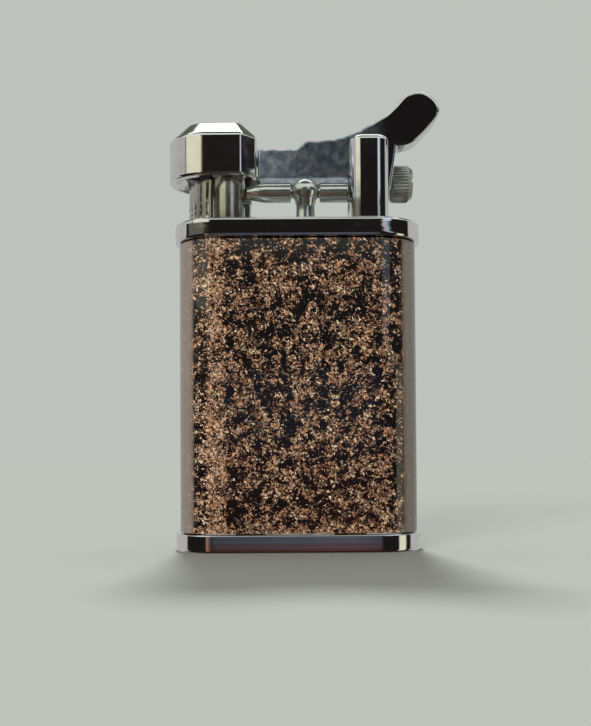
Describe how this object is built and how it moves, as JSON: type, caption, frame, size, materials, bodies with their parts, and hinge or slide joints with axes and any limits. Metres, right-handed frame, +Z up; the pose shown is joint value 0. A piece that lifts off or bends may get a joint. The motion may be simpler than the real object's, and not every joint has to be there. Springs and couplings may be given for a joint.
{
  "type": "lift-arm gas flint lighter",
  "caption": "Slim pocket gas lighter with a lift arm that raises a snuffer cap off the burner, a see-saw gas lever, spark wheel and knurled flint screw.",
  "frame": {"origin": "centre of the base plate's flat underside", "axes": "+Z up through the body's length, +X towards the thumb piece and flint screw, +Y to the rear"},
  "size_m": [0.0392, 0.0136, 0.0658],
  "materials": {
    "chrome": "bright mirror chrome plating, fine wear",
    "brushed_chrome": "chrome over a brushed, slightly pitted casting",
    "steel": "plain turned steel",
    "brass": "turned brass",
    "fleck_wrap": "copper flecks on black under clear gloss",
    "tank_plastic": "natural moulded plastic",
    "seal_rubber": "matt",
    "flint_alloy": "dull grey alloy"
  },
  "bodies": {
    "body": {"base_plate": "chrome", "body_wrap": "fleck_wrap", "body_case": "steel", "fuel_tank": "tank_plastic", "tank_base": "tank_plastic", "tank_gasket": "seal_rubber", "fill_valve_body": "brass", "fill_valve_spring": "steel", "fill_valve_seal": "seal_rubber", "flame_adjuster_seal": "seal_rubber", "top_plate": "chrome", "valve_body": "brass", "burner_sleeve": "chrome", "nozzle_spring": "steel", "wind_guard": "chrome", "wheel_bracket": "steel", "bracket_screw": "steel", "wheel_screw": "steel", "flint_tube": "brass", "flint": "flint_alloy", "flint_spring": "steel", "arm_post": "chrome", "arm_post_screw": "steel", "pivot_pin": "steel", "gas_lever_post": "chrome", "gas_lever_pin": "steel"},
    "lift_arm": {"lift_arm": "brushed_chrome", "snuffer_cap": "chrome", "snuffer_screw": "steel"},
    "gas_lever": {"gas_lever": "chrome"},
    "burner_nozzle": {"burner_nozzle": "brass"},
    "spark_wheel": {"spark_wheel": "steel"},
    "flint_pusher": {"flint_pusher": "brass"},
    "flint_screw": {"flint_screw": "chrome"},
    "fill_valve_stem": {"fill_valve_stem": "steel"},
    "flame_adjuster": {"flame_adjuster": "brass"}
  },
  "joints": [
    {"name": "arm_lift", "type": "hinge", "parent": "body", "child": "lift_arm", "pos_m": [0.0103, 0, 0.0562], "axis": [0, 1, 0], "range_deg": [0, 36]},
    {"name": "gas_lever_rock", "type": "hinge", "parent": "body", "child": "gas_lever", "pos_m": [0.0012, -0.0033, 0.0512], "axis": [0, 1, 0], "range_deg": [0, 4.25]},
    {"name": "nozzle_lift", "type": "slide", "parent": "body", "child": "burner_nozzle", "axis": [0, 0, 1], "range_m": [0, 0.00082], "deforming": ["nozzle_spring"]},
    {"name": "spark_wheel_spin", "type": "hinge", "parent": "body", "child": "spark_wheel", "pos_m": [-0.0114, 0.00235, 0.05375], "axis": [0, 1, 0], "continuous": true},
    {"name": "flint_screw_travel", "type": "slide", "parent": "body", "child": "flint_pusher", "axis": [1, 0, 0], "range_m": [0, 0.004]},
    {"name": "flint_screw_turn", "type": "hinge", "parent": "flint_pusher", "child": "flint_screw", "pos_m": [0.0139, 0.0032, 0.05425], "axis": [1, 0, 0], "range_deg": [0, 2880]},
    {"name": "fill_valve_press", "type": "slide", "parent": "body", "child": "fill_valve_stem", "axis": [0, 0, 1], "range_m": [0, 0.0008], "stiffness_N_per_m": 200, "deforming": ["fill_valve_spring"]},
    {"name": "flame_adjuster_turn", "type": "hinge", "parent": "body", "child": "flame_adjuster", "pos_m": [0.0075, 0, 0.0013], "axis": [0, 0, 1], "range_deg": [-90, 90]}
  ],
  "couplings": [
    {"joint": "gas_lever_rock", "follows": "arm_lift", "ratio": 0.1167},
    {"joint": "nozzle_lift", "follows": "arm_lift", "m_per_rad": 0.001273},
    {"joint": "flint_screw_turn", "follows": "flint_screw_travel", "rad_per_m": 12566}
  ]
}
